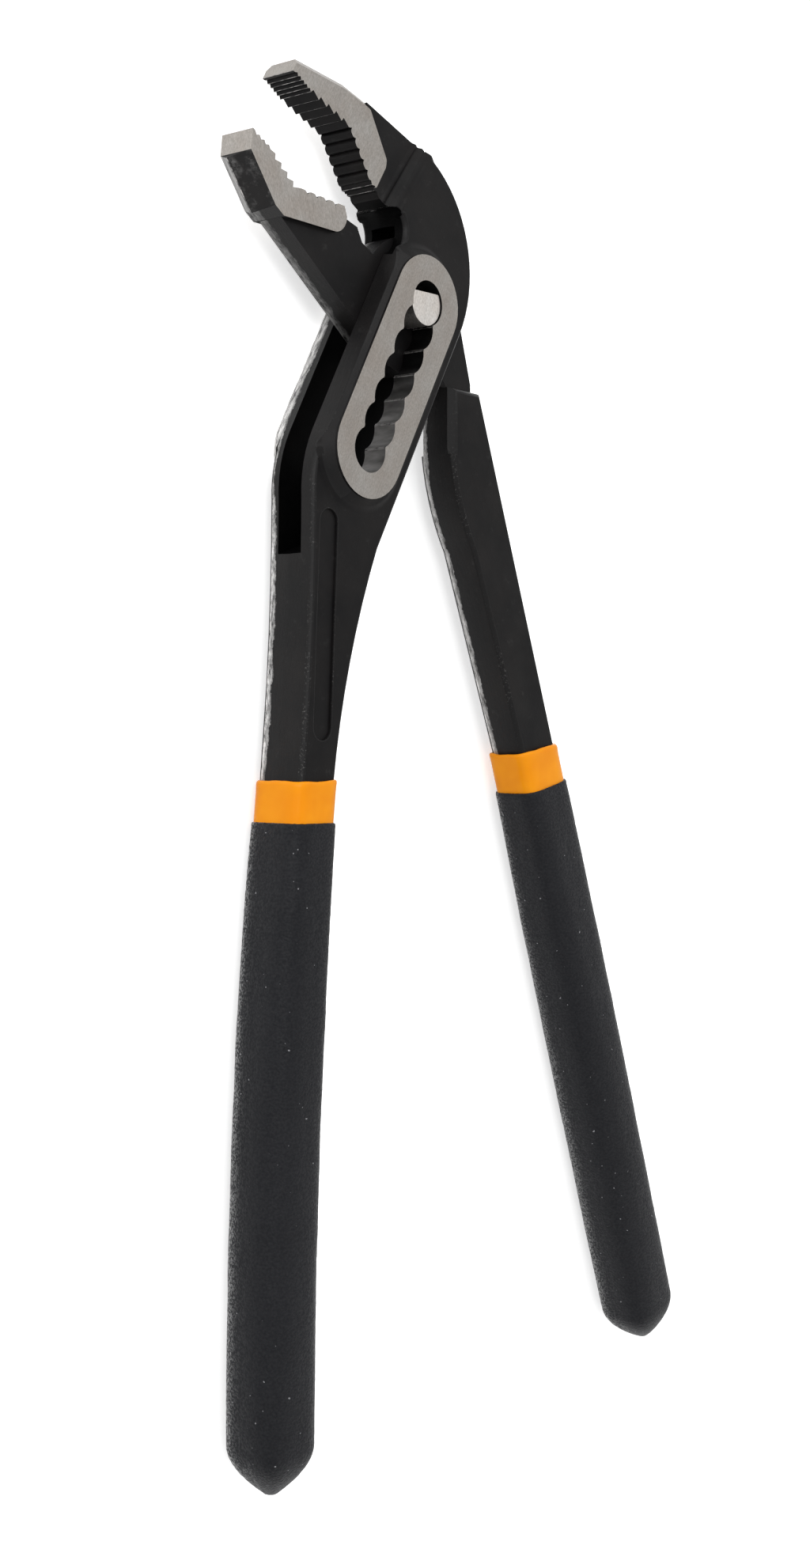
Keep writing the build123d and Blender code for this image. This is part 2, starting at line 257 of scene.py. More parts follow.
def scale_colour(add, link):
    """Black forging scale, warmer in patches and greyed by light scuffs."""
    patches = grain_noise(add, link, 90, detail=4)
    rubs = grain_noise(add, link, 420, detail=5, roughness=0.7)
    scale = ramp(add, link, patches, 0.35, 0.7, (0.0032, 0.0030, 0.0033), (0.0080, 0.0070, 0.0068))
    scuffed = ramp(add, link, patches, 0.35, 0.7, (0.011, 0.0105, 0.0105), (0.019, 0.018, 0.0175))
    return blend(add, link, span(add, link, rubs, 0.60, 0.74, 0, 1), scale, scuffed)


def scale_relief(add, link):
    """The sandy skin of a forging, over shallow dents."""
    dents = bump(add, link, grain_noise(add, link, 420, detail=2), 0.3, 0.00008)
    return bump(add, link, grain_noise(add, link, 2600, detail=3), 0.45, 0.00003, dents)


def black_forging():
    """Satin black scale on forged steel."""
    material, shader, add, link = new_material("black_forging")
    link(scale_colour(add, link), shader.inputs["Base Color"])
    worn_smooth = grain_noise(add, link, 130, detail=3)
    link(span(add, link, worn_smooth, 0.3, 0.7, 0.36, 0.56), shader.inputs["Roughness"])
    shader.inputs["Specular IOR Level"].default_value = 0.10
    link(scale_relief(add, link), shader.inputs["Normal"])
    return material


def bare_flash(add, link, lean):
    """Colour and relief of a torn, bare flash line: streaks, leaning from the tool's length, and pits."""
    turn = (0, 0, math.radians(lean))
    streaks = grain_noise(add, link, 1500, stretch=(1, 0.14, 1), turn=turn, detail=5, roughness=0.75)
    colour = ramp(add, link, streaks, 0.36, 0.58, (0.045, 0.044, 0.044), (0.70, 0.69, 0.68))
    return colour, bump(add, link, streaks, 0.6, 0.00010)


def trimmed_side(name, low_start, high_start, lean, tone):
    """A lever's left side: black scale, and a bare torn strip of flash from this far behind the middle plane.

    The strip starts at one depth down the handle and at another beside the slot, and has painted back light.
    """
    material, shader, add, link = new_material(name)
    axes = axes_of(add, link, "Object")
    handle_y, slot_y = place(0, -44, 0).y, place(0, -24, 0).y
    start = span(add, link, axes["Y"], handle_y, slot_y, low_start * MM, high_start * MM)
    behind = add("Math", operation="SUBTRACT")
    behind.inputs[0].default_value = pin.z
    link(axes["Z"], behind.inputs[1])
    inside = computed(add, link, "SUBTRACT", behind.outputs["Value"], start)
    wander = grain_noise(add, link, 240, detail=5, roughness=0.75)
    ragged = computed(add, link, "ADD", inside, span(add, link, wander, 0.3, 0.7, -0.5 * MM, 0.5 * MM))
    torn = span(add, link, ragged, 0, 0.25 * MM, 0, 1)
    # Painted light: the bare strip is dim at its torn edge and brighter towards the back, as if lit from behind.
    painted_back_light = span(add, link, ragged, 0, 1.4 * MM, 0.25 * tone, tone)
    bare, relief = bare_flash(add, link, lean)
    lit = multiplied(add, link, bare, painted_back_light)
    link(blend(add, link, torn, scale_colour(add, link), lit), shader.inputs["Base Color"])
    link(span(add, link, torn, 0, 1, 0.5, 0.40), shader.inputs["Roughness"])
    link(span(add, link, torn, 0, 1, 0.0, 0.35), shader.inputs["Metallic"])
    shader.inputs["Specular IOR Level"].default_value = 0.16
    skin = grain_noise(add, link, 2600, detail=3)
    link(bump(add, link, skin, 0.4, 0.00003, relief), shader.inputs["Normal"])
    return material


def torn_flash():
    """The rough grey far side of the lower jaw's back, where the flash was trimmed."""
    material, shader, add, link = new_material("torn_flash")
    bare, relief = bare_flash(add, link, -20)
    dulled = add("Mix", data_type="RGBA", blend_type="MULTIPLY", Factor=1.0)
    dulled.inputs[7].default_value = (0.42, 0.42, 0.42, 1)
    link(bare, dulled.inputs[6])
    link(dulled.outputs[2], shader.inputs["Base Color"])
    shader.inputs["Metallic"].default_value = 0.4
    shader.inputs["Roughness"].default_value = 0.42
    link(relief, shader.inputs["Normal"])
    return material


def scuffed_scale():
    """Black scale on the lower jaw's back, rubbed grey in cloudy patches."""
    material, shader, add, link = new_material("scuffed_scale")
    patches = grain_noise(add, link, 190, detail=5, roughness=0.7)
    rubs = grain_noise(add, link, 900, detail=4, roughness=0.7)
    rubbed = ramp(add, link, rubs, 0.40, 0.66, (0.010, 0.0095, 0.0095), (0.13, 0.127, 0.125))
    cloud = span(add, link, patches, 0.46, 0.64, 0, 1)
    link(blend(add, link, cloud, scale_colour(add, link), rubbed), shader.inputs["Base Color"])
    shader.inputs["Roughness"].default_value = 0.46
    shader.inputs["Specular IOR Level"].default_value = 0.2
    link(scale_relief(add, link), shader.inputs["Normal"])
    return material


def slot_wall():
    """Steel of the scallops: painted shade blackens those near the pin, and painted light brightens the lower
    ones.
    """
    material, shader, add, link = new_material("slot_wall")
    rubs = grain_noise(add, link, 500, stretch=(1, 1, 0.3), detail=3)
    # Painted shade and light: the walls go dark towards the pin and lighter further down the slot.
    lit_wall_y, full_shade_y = pin.y + slot_end.y * 0.72 * MM, pin.y + slot_end.y * 0.42 * MM
    painted_shade_near_pin = span(add, link, axes_of(add, link, "Object")["Y"], lit_wall_y, full_shade_y, 0, 1)
    steel = ramp(add, link, rubs, 0.3, 0.7, (0.11, 0.106, 0.104), (0.27, 0.263, 0.257))
    painted_shade_steel = ramp(add, link, rubs, 0.3, 0.7, (0.006, 0.006, 0.006), (0.018, 0.017, 0.017))
    link(blend(add, link, painted_shade_near_pin, steel, painted_shade_steel), shader.inputs["Base Color"])
    shader.inputs["Metallic"].default_value = 0.85
    link(span(add, link, rubs, 0.3, 0.7, 0.30, 0.44), shader.inputs["Roughness"])
    link(bump(add, link, rubs, 0.3, 0.00004), shader.inputs["Normal"])
    return material


def painted_shade_black():
    """Black painted as shade in the throat and between the cheeks, where little light goes."""
    material, shader, add, link = new_material("painted_shade_black")
    shade_mottle = grain_noise(add, link, 260, detail=3)
    colour = ramp(add, link, shade_mottle, 0.3, 0.7, (0.0006, 0.0006, 0.0007), (0.0016, 0.0015, 0.0015))
    link(colour, shader.inputs["Base Color"])
    shader.inputs["Roughness"].default_value = 0.5
    shader.inputs["Specular IOR Level"].default_value = 0.04
    link(scale_relief(add, link), shader.inputs["Normal"])
    return material


def worn_edge():
    """Scale polished along the ridges, with a few specks where steel glints through."""
    material, shader, add, link = new_material("worn_edge")
    specks = grain_noise(add, link, 2600, detail=3, roughness=0.7)
    patches = grain_noise(add, link, 75, detail=3)
    glints = span(add, link, specks, 0.56, 0.70, 0, 1)
    wear = span(add, link, patches, 0.48, 0.72, 0.05, 0.8)
    rubbed = computed(add, link, "MULTIPLY", glints, wear)
    colour = ramp(add, link, rubbed, 0.0, 1.0, (0.008, 0.0076, 0.0078), (0.17, 0.165, 0.16))
    link(colour, shader.inputs["Base Color"])
    link(span(add, link, rubbed, 0, 1, 0.0, 0.6), shader.inputs["Metallic"])
    shader.inputs["Roughness"].default_value = 0.38
    shader.inputs["Specular IOR Level"].default_value = 0.13
    link(bump(add, link, specks, 0.3, 0.00004), shader.inputs["Normal"])
    return material


def tooth_crest():
    """Crests of the teeth, cusps of the slot and the lower jaw's ridge, rubbed bright in broken lines."""
    material, shader, add, link = new_material("tooth_crest")
    breaks = grain_noise(add, link, 900, detail=3)
    colour = ramp(add, link, breaks, 0.40, 0.58, (0.03, 0.029, 0.029), (0.34, 0.33, 0.32))
    link(colour, shader.inputs["Base Color"])
    link(span(add, link, breaks, 0.40, 0.58, 0.1, 0.9), shader.inputs["Metallic"])
    shader.inputs["Roughness"].default_value = 0.4
    return material


def ground_steel(name, lean, tone):
    """Bright steel with fine grinding lines that lean from the tool's length, and faint smears."""
    material, shader, add, link = new_material(name)
    turn = (0, 0, math.radians(lean))
    lines = grain_noise(add, link, 60, stretch=(52, 1.6, 30), turn=turn, detail=6, roughness=0.8)
    grit = grain_noise(add, link, 4200, stretch=(1, 0.45, 1), turn=turn, detail=3, roughness=0.7)
    smears = grain_noise(add, link, 170, detail=4)
    dark = tuple(channel * 0.74 for channel in tone)
    brushed = ramp(add, link, lines, 0.3, 0.72, dark, tone)
    grains = ramp(add, link, grit, 0.3, 0.62, (0.78, 0.77, 0.76), (1.08, 1.08, 1.08))
    stains = ramp(add, link, smears, 0.35, 0.7, (0.90, 0.86, 0.83), (1.0, 1.0, 1.0))
    gritted = multiplied(add, link, brushed, grains)
    link(multiplied(add, link, gritted, stains), shader.inputs["Base Color"])
    shader.inputs["Metallic"].default_value = 1.0
    link(span(add, link, lines, 0.3, 0.7, 0.34, 0.48), shader.inputs["Roughness"])
    relief = bump(add, link, lines, 0.3, 0.00002)
    link(bump(add, link, grit, 0.25, 0.00002, relief), shader.inputs["Normal"])
    return material


def amber_dip():
    """Glossy soft vinyl in amber, a little deeper in colour where it is thick."""
    material, shader, add, link = new_material("amber_dip")
    depth = grain_noise(add, link, 150, detail=2)
    colour = ramp(add, link, depth, 0.35, 0.65, (0.78, 0.255, 0.004), (0.84, 0.30, 0.006))
    link(colour, shader.inputs["Base Color"])
    shader.inputs["Roughness"].default_value = 0.2
    shader.inputs["Specular IOR Level"].default_value = 0.1
    shader.inputs["Subsurface Weight"].default_value = 0.12
    shader.inputs["Subsurface Radius"].default_value = (0.0012, 0.0006, 0.0002)
    waves = grain_noise(add, link, 260, detail=1)
    link(bump(add, link, waves, 0.25, 0.0001), shader.inputs["Normal"])
    return material


def charcoal_dip():
    """Pebbled charcoal vinyl with small dust specks, its pebbles glinting along the undersides."""
    material, shader, add, link = new_material("charcoal_dip")
    pebbles = grain_noise(add, link, 2300, detail=2, roughness=0.6)
    cloud = grain_noise(add, link, 60, detail=3)
    dust = grain_noise(add, link, 1500, detail=0)
    base = ramp(add, link, cloud, 0.3, 0.7, (0.0058, 0.0061, 0.0078), (0.0085, 0.0088, 0.0108))
    specks = span(add, link, dust, 0.845, 0.86, 0, 1)
    pale = add("RGB")
    pale.outputs[0].default_value = (0.2, 0.2, 0.21, 1)
    link(blend(add, link, specks, base, pale.outputs[0]), shader.inputs["Base Color"])
    shader.inputs["Roughness"].default_value = 0.5
    link(span(add, link, pebbles, 0.35, 0.65, 0.12, 0.20), shader.inputs["Specular IOR Level"])
    edge_on = span(add, link, add("LayerWeight", Blend=0.5).outputs["Facing"], 0.24, 0.50, 0, 1)
    underside = span(add, link, axes_of(add, link, "Normal")["Z"], 0.1, -0.3, 0.06, 1)
    tops = span(add, link, pebbles, 0.46, 0.58, 0, 1)
    glint = computed(add, link, "MULTIPLY", computed(add, link, "MULTIPLY", edge_on, tops), underside)
    link(glint, shader.inputs["Sheen Weight"])
    shader.inputs["Sheen Roughness"].default_value = 0.45
    link(bump(add, link, pebbles, 0.9, 0.00015), shader.inputs["Normal"])
    return material


# Levers and pin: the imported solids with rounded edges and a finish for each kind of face

def merged_solid(node):
    """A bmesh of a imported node, with its loose triangles joined and its flat faces made whole."""
    shape = bmesh.new()
    shape.from_mesh(frame["nodes"][node].data)
    bmesh.ops.remove_doubles(shape, verts=shape.verts, dist=0.002 * MM)
    bmesh.ops.dissolve_limit(
        shape, angle_limit=math.radians(0.6), verts=shape.verts, edges=shape.edges,
        use_dissolve_boundaries=False,
    )
    return shape


def sharp_edges(shape, least_degrees):
    """Edges whose two faces turn by more than this."""
    least = math.radians(least_degrees)
    return [edge for edge in shape.edges if edge.is_manifold and edge.calc_face_angle(0.0) > least]


def round_edges(shape, edges, radius, steps, held=True):
    """Rounds these edges, held back where they would run into each other, and returns the new faces."""
    made = bmesh.ops.bevel(
        shape, geom=edges, offset=radius * MM, offset_type="OFFSET", affect="EDGES",
        segments=steps, profile=0.5, clamp_overlap=held, material=-1,
    )
    return made["faces"]


def finish_piece(shape, name, body, slot, materials, replaced):
    """Makes a bmesh a piece that stands for a node of the solid model and rides on a body."""
    mesh = bpy.data.meshes.new(name)
    for material in materials:
        mesh.materials.append(material)
    shape.to_mesh(mesh)
    shape.free()
    piece = bpy.data.objects.new(name, mesh)
    bpy.context.scene.collection.objects.link(piece)
    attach(piece, body)
    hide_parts(replaced)
    return piece


def finish_steel(shape, *named):
    """Makes a bmesh a steel piece, shaded smooth up to the edges that are still sharp."""
    for face in shape.faces:
        face.smooth = True
    for edge in sharp_edges(shape, shading_degrees):
        edge.smooth = False
    piece = finish_piece(shape, *named)
    piece.modifiers.new("even_shading", "WEIGHTED_NORMAL").keep_sharp = True


# Finishes of the levers' faces, in the order of their materials
SCALE, BRIGHT, SIDE, WORN, CREST, WALL, TORN, SCUFFED, SHADE_PAINTED, NECK = range(10)


def beside_line(point, start, end):
    """Distance in the tool's plane from a point to a line between two points."""
    run = end - start
    part = min(max((point.xy - start).dot(run) / run.length_squared, 0), 1)
    return (point.xy - start - run * part).length


def on_left_side(centre, normal):
    """Whether a face belongs to the left side of a handle or of the box."""
    return normal.x < -0.35 and abs(normal.z) < 0.75 and centre.y < side_top


def outer_finish(centre, normal, area):
    """Finish of a face of the outer lever, by where it is in millimetres from the pin and how it faces."""
    upright = abs(normal.z) < 0.2
    facing_slot = normal.xy.dot(slot_end / 2 - centre.xy) > 0
    if abs(normal.z) > 0.99 and min(abs(abs(centre.z) - flat) for flat in (boss_half, jaw_half)) < 0.05:
        return BRIGHT
    if centre.x < upper_tip.x and centre.y > upper_tip.y and normal.x < -0.5 and area > tip_area:
        return BRIGHT
    if centre.x < upper_pad.x and centre.y > upper_pad.y and 0.5 < abs(normal.z) < 0.9:
        return BRIGHT
    if upright and beside_line(centre, slot_start, slot_end) < scallop_reach:
        return WALL
    in_throat = throat_low.x < centre.x < throat_high.x and throat_low.y < centre.y < throat_high.y
    gap_side = abs(abs(centre.z) - gap_half) < 0.05
    gap_wall = abs(centre.z) < 0.3 and facing_slot and gap_low < centre.y < gap_high
    # Faces deep in the throat and in the gap between the cheeks get painted shade.
    if (in_throat and upright) or gap_side or gap_wall:
        return SHADE_PAINTED
    return SIDE if on_left_side(centre, normal) else SCALE


def inner_finish(centre, normal, area):
    """Finish of a face of the inner lever, by where it is in millimetres from the pin and how it faces."""
    if abs(normal.z) > 0.99 and abs(abs(centre.z) - jaw_half) < 0.05:
        return BRIGHT
    at_tip = centre.x < lower_tip.x and centre.y > lower_tip.y and area > tip_area
    if at_tip and normal.x < -0.5 and abs(normal.z) < 0.1:
        return BRIGHT
    if centre.x < ridged_back_x and ridged_back_low < centre.y < ridged_back_high and abs(normal.z) > 0.2:
        return SCUFFED if normal.z > 0 else TORN
    if on_left_side(centre, normal):
        return SIDE if centre.y < neck_low else NECK
    return SCALE


def runs_through(edge):
    """Whether an edge runs straight through the tool's thickness, as crests, roots and cusps do."""
    return abs((edge.verts[1].co - edge.verts[0].co).normalized().z) > 0.98


def middle_of(edge):
    """An edge's middle, in millimetres from the pin."""
    return from_pin((edge.verts[0].co + edge.verts[1].co) / 2)


def is_tooth_edge(edge):
    """Whether an edge is a crest or a root of the jaw teeth."""
    return runs_through(edge) and middle_of(edge).y > teeth_low


def is_cusp(edge):
    """Whether an edge is a cusp between two scallops of the slot."""
    return runs_through(edge) and beside_line(middle_of(edge), slot_start, slot_end) < scallop_reach


def at_level(edge, level):
    """Whether both ends of an edge lie this far from the middle plane."""
    return all(abs(abs(from_pin(vert.co).z) - level) < 0.02 for vert in edge.verts)


def on_flank(edge, thickness):
    """Whether an edge lies where a lever's side turns into the foot of the boss."""
    depths = [abs(from_pin(vert.co).z) for vert in edge.verts]
    return min(depths) > thickness + 0.1 and max(depths) < boss_half - 0.7


def repaint(faces, finish):
    """Gives these faces a finish, apart from those that are ground bright."""
    for face in faces:
        if face.material_index != BRIGHT:
            face.material_index = finish


def hollow(edge):
    """Whether the two faces of an edge form a hollow."""
    return edge.calc_face_angle_signed(0) < 0


def ridge_edges(shape, least_degrees):
    """Sharp edges that stand out and form no hollow."""
    return [edge for edge in sharp_edges(shape, least_degrees) if not hollow(edge)]


def before_back_end(point):
    """Whether a point lies nearer the lower jaw's tip than the end of its ridged back."""
    return point.x < jaw_back_end.x and point.y < jaw_back_end.y


def step_height(offset):
    """Half thickness across the step from the web up to the box: a low ridge, a valley and a soft rise."""
    part = min(max((offset - rise_start) / rise_width, 0), 1)
    rise = 1 - (1 - part) ** 2.4
    ridge = low_ridge_height * math.exp(-((offset - low_ridge_at) / low_ridge_width) ** 2)
    return web_half + (body_half - web_half) * rise + ridge


def soften_step(shape):
    """Turns the upright step between the upper jaw's web and the box into the soft one of a forging."""
    along = (crown - throat_top).normalized()
    across = Vector((along.y, -along.x))
    low, high = step_reach

    def in_step(vert):
        flat = from_pin(vert.co)
        run, offset = (flat.xy - throat_top).dot(along), (flat.xy - throat_top).dot(across)
        in_run = -0.05 < run < (crown - throat_top).length + 0.6
        in_width = low - 0.01 < offset < high + 0.01
        return in_run and in_width and web_half - 0.1 < abs(flat.z) < body_half + 0.1

    for cut in range(step_cuts):
        offset = low + (high - low) * cut / (step_cuts - 1)
        faces = [face for face in shape.faces if any(in_step(vert) for vert in face.verts)]
        edges = {edge for face in faces for edge in face.edges}
        verts = {vert for face in faces for vert in face.verts}
        middle = throat_top + across * offset
        bmesh.ops.bisect_plane(
            shape, geom=[*faces, *edges, *verts], dist=0.005 * MM,
            plane_co=place(middle.x, middle.y, 0), plane_no=(across.x, across.y, 0),
        )
    step_verts = [vert for vert in shape.verts if in_step(vert)]
    for vert in step_verts:
        flat = from_pin(vert.co)
        height = step_height((flat.xy - throat_top).dot(across))
        vert.co.z = pin.z + math.copysign(height, flat.z) * MM
    bmesh.ops.remove_doubles(shape, verts=step_verts, dist=0.12 * MM)
    shape.normal_update()


def shift_back_ridge(shape):
    """Moves the ridge along the lower jaw's back from the middle plane towards the far side."""
    for vert in shape.verts:
        flat = from_pin(vert.co)
        if abs(flat.z) < 0.05 and flat.y > jaw_back_low and before_back_end(flat):
            vert.co.z -= back_ridge_shift * MM
    shape.normal_update()


def round_lever(shape, thickness):
    """Rounds a lever's ridges and valleys well, its teeth by their kind, and its other edges a little."""
    valleys = [edge for edge in sharp_edges(shape, 18) if hollow(edge) and at_level(edge, thickness)]
    round_edges(shape, valleys, valley_round, 3, held=False)
    ridges = [edge for edge in ridge_edges(shape, 20)
              if at_level(edge, thickness) or at_level(edge, thickness - edge_break)]
    repaint([face for edge in ridges for face in edge.link_faces if 0.4 < abs(face.normal.z) < 0.9], WORN)
    repaint(round_edges(shape, ridges, ridge_round, 2, held=False), WORN)
    flanks = [edge for edge in ridge_edges(shape, 30) if on_flank(edge, thickness)]
    repaint(round_edges(shape, flanks, flank_round, 2, held=False), WORN)
    ribs = [edge for edge in ridge_edges(shape, 24) if is_tooth_edge(edge)
            and edge.calc_face_angle(0) < math.radians(crest_degrees)]
    round_edges(shape, ribs, rib_round, 3, held=False)
    crests = [edge for edge in ridge_edges(shape, crest_degrees) if is_tooth_edge(edge)]
    repaint(round_edges(shape, crests, crest_flat, 1, held=False), CREST)
    jaw_back = [edge for edge in ridge_edges(shape, 12) if at_level(edge, back_ridge_shift)
                and before_back_end(middle_of(edge))]
    repaint(round_edges(shape, jaw_back, back_ridge_round, 2, held=False), CREST)
    cusps = [edge for edge in ridge_edges(shape, 24) if is_cusp(edge)]
    repaint(round_edges(shape, cusps, cusp_flat, 1, held=False), CREST)
    others = [edge for edge in sharp_edges(shape, 24) if not runs_through(edge)
              and edge.calc_length() > 0.3 * MM]
    repaint(round_edges(shape, others, edge_round, 2), WORN)
    bmesh.ops.dissolve_degenerate(shape, dist=0.003 * MM, edges=shape.edges)


def make_lever(node, name, body, thickness, reshape, finish_of, finishes):
    """A lever with its forged shape, rounded ridges, and a finish for each kind of face."""
    shape = merged_solid(node)
    for face in shape.faces:
        centre, area = from_pin(face.calc_center_median()), face.calc_area() / MM ** 2
        face.material_index = finish_of(centre, face.normal, area)
    reshape(shape)
    round_lever(shape, thickness)
    finish_steel(shape, name, body, "forged_steel", finishes, node)


def make_pin(finish):
    """The pin, with broken edges."""
    shape = merged_solid("pivot_pin")
    round_edges(shape, sharp_edges(shape, 30), pin_edge_round, 2)
    finish_steel(shape, "ground_pin", "pin", "bright_steel", [finish], "pivot_pin")


# Coats on the handles

def handle_axis(top, tip, bow, distance):
    """Place, direction and length of a handle's axis, this far below the top of its band."""
    run = Vector((tip[0] - top[0], tip[1] - top[1]))
    part = distance / run.length
    point = Vector(top) + run * part + Vector((-bow * 4 * part * (1 - part), 0))
    direction = (run + Vector((-bow * 4 * (1 - 2 * part), 0))).normalized()
    return point, direction, run.length


def set_ring(ring, axis, distance, size):
    """Moves a ring's points onto a squared oval about the axis: width, depth and squareness are given."""
    point, direction, _ = handle_axis(*axis, distance)
    across = Vector((-direction.y, direction.x))
    width, depth, squareness = size
    for index, vertex in enumerate(ring):
        turn = 2 * math.pi * index / len(ring)
        side, front = math.cos(turn), math.sin(turn)
        spread = abs(2 * side / width) ** squareness + abs(2 * front / depth) ** squareness
        reach = spread ** (-1 / squareness)
        flat = point + across * side * reach
        vertex.co = place(flat.x, flat.y, front * reach)


def extruded_from(vertex, fresh):
    """The fresh vertex that a vertex was extruded to."""
    return next(edge.other_vert(vertex) for edge in vertex.link_edges if edge.other_vert(vertex) in fresh)


def ring_tube(axis, rings):
    """A closed skin through rings, each a distance along an axis with a size, capped at both ends."""
    shape = bmesh.new()
    ring = bmesh.ops.create_circle(shape, cap_ends=False, segments=ring_points, radius=MM)["verts"]
    first_edges = list(shape.edges)
    edges = first_edges
    set_ring(ring, axis, *rings[0])
    for distance, size in rings[1:]:
        made = bmesh.ops.extrude_edge_only(shape, edges=edges)["geom"]
        fresh = {vertex for vertex in made if isinstance(vertex, bmesh.types.BMVert)}
        ring = [extruded_from(vertex, fresh) for vertex in ring]
        edges = [edge for edge in made if isinstance(edge, bmesh.types.BMEdge) and set(edge.verts) <= fresh]
        set_ring(ring, axis, distance, size)
    for rim in (first_edges, edges):
        bmesh.ops.edgeloop_fill(shape, edges=rim)
    bmesh.ops.recalc_face_normals(shape, faces=shape.faces)
    for face in shape.faces:
        face.smooth = True
    return shape


def between(start, end, part):
    """Values part of the way from one tuple to another."""
    return tuple(low + (high - low) * part for low, high in zip(start, end))


def grown(size, amount):
    """A section grown by this amount on each side."""
    return (size[0] + 2 * amount, size[1] + 2 * amount, size[2])


def level_top(shape, axis, tilt, rise):
    """Tilts and lifts the top of a coat to the line that the dip left, and leaves the rest as it is."""
    point, direction, _ = handle_axis(*axis, 0)
    across = Vector((-direction.y, direction.x))
    for vertex in shape.verts:
        beside = from_pin(vertex.co).xy - point
        fade = min(max(1 - beside.dot(direction) / dip_line_fade, 0), 1)
        lift = -direction * (tilt * beside.dot(across) + rise) * fade
        vertex.co += Vector((lift.x, lift.y, 0)) * MM


def make_band(side, axis, band):
    """The amber first coat: a rounded bead at its top edge, a band, and a sleeve under the grip."""
    length = handle_axis(*axis, 0)[2]
    rings = [(distance, grown(band, growth)) for distance, growth in band_bead]
    rings += [(distance, band) for distance in range(2, sleeve_start + 1)]
    sleeve, sleeve_end = grown(band, -0.2), grown((band[0] - 2.0, band[1], band[2]), -0.3)
    for part in (0.3, 0.6, 1.0):
        distance = sleeve_start + (length - sleeve_gap - sleeve_start) * part
        rings.append((distance, between(sleeve, sleeve_end, part)))
    shape = ring_tube(axis, rings)
    level_top(shape, axis, *dip_line[side])
    for vertex in shape.verts:
        ripple = noise.noise(vertex.co * ripple_rate)
        if from_pin(vertex.co).y > axis[0][1] - ripple_depth:
            vertex.co.y += lip_ripple * MM * ripple
    finish_piece(shape, side + "_amber_band", lever_of[side], "amber_dip", [amber], side + "_under_dip")


def grip_fullness(part):
    """How far a grip has swollen towards its fullest section, this part of the way down to its nose."""
    if part < fullest_part:
        return math.sin(part / fullest_part * math.pi / 2)
    return 1 - lost_swell * ((part - fullest_part) / (1 - fullest_part)) ** 2


def make_grip(side, axis, band, top_cover):
    """The charcoal second coat: a rolled top edge, a long swelling sleeve, and a blunt nose with a nib."""
    length = handle_axis(*axis, 0)[2]
    top = (band[0] + 2 * top_cover, band[1] + 2 * top_cover, grip_top_squareness)
    rings = [(band_length + distance, grown(top, growth)) for distance, growth in grip_lip]
    swell_start, nose_start = rings[-1][0], length - nose_length
    for step in range(1, grip_steps + 1):
        part = step / grip_steps
        distance = swell_start + (nose_start - swell_start) * part
        rings.append((distance, between(top, grip_swell, grip_fullness(part))))
    last = rings[-1][1]
    for step in range(1, nose_steps + 1):
        part = step / nose_steps
        rings.append((nose_start + nose_length * part, between(last, nib, part ** 1.9)))
    shape = ring_tube(axis, rings)
    level_top(shape, axis, *dip_line[side])
    shape.normal_update()
    for vertex in shape.verts:
        pebble = noise.noise(vertex.co * pebble_rate) + coarse_part * noise.noise(vertex.co * coarse_rate)
        lumps = noise.noise(vertex.co * lump_rate)
        vertex.co += vertex.normal * MM * (pebble_height * pebble + lump_height * lumps)
    finish_piece(shape, side + "_charcoal_grip", lever_of[side], "charcoal_dip", [charcoal], side + "_grip")


# Floor, light and camera

def make_floor():
    """A pale floor that keeps the shadow and a faint gloss near the tool, and fades to the white ground."""
    floor_half, fade_start, fade_end = 3.0, 0.10, 0.30
    shape = bmesh.new()
    bmesh.ops.create_grid(shape, x_segments=1, y_segments=1, size=floor_half)
    mesh = bpy.data.meshes.new("pale_floor")
    shape.to_mesh(mesh)
    shape.free()
    floor = bpy.data.objects.new("pale_floor", mesh)
    bpy.context.scene.collection.objects.link(floor)
    material, shader, add, link = new_material("pale_floor")
    shader.inputs["Base Color"].default_value = (0.86, 0.86, 0.86, 1)
    shader.inputs["Roughness"].default_value = 0.22
    shader.inputs["Specular IOR Level"].default_value = 0.35
    shader.inputs["Emission Color"].default_value = (1, 1, 1, 1)
    link(span(add, link, seen_directly(add, link), 0, 1, 0, 0.6), shader.inputs["Emission Strength"])
    coordinates = add("TexCoord")
    reach = add("VectorMath", operation="LENGTH")
    link(coordinates.outputs["Object"], reach.inputs[0])
    clear = add("BsdfTransparent")
    mixed = add("MixShader")
    link(span(add, link, reach.outputs["Value"], fade_start, fade_end, 0, 1), mixed.inputs[0])
    link(shader.outputs[0], mixed.inputs[1])
    link(clear.outputs[0], mixed.inputs[2])
    link(mixed.outputs[0], material.node_tree.nodes["Material Output"].inputs["Surface"])
    mesh.materials.append(material)


def make_world():
    """White ground for the camera and for reflections, and plain dimmer light on everything else."""
    world = bpy.data.worlds.new("white_studio")
    world.use_nodes = True
    tree = world.node_tree
    add, link = node_tools(tree)
    lit = tree.nodes["Background"]
    lit.inputs["Color"].default_value = (1, 1, 1, 1)
    lit.inputs["Strength"].default_value = 0.7
    white = add("Background", Color=(1, 1, 1, 1), Strength=1.0)
    mixed = add("MixShader")
    link(seen_directly(add, link), mixed.inputs[0])
    link(lit.outputs[0], mixed.inputs[1])
    link(white.outputs[0], mixed.inputs[2])
    link(mixed.outputs[0], tree.nodes["World Output"].inputs["Surface"])
    bpy.context.scene.world = world


def softbox(name, where, size, power):
    """A square soft light aimed at the tool."""
    light = bpy.data.lights.new(name, "AREA")
    light.shape = "SQUARE"
    light.size = size
    light.energy = power
    lamp = bpy.data.objects.new(name, light)
    lamp.location = where
    lamp.rotation_euler = (-Vector(where)).to_track_quat("-Z", "Y").to_euler()
    bpy.context.scene.collection.objects.link(lamp)


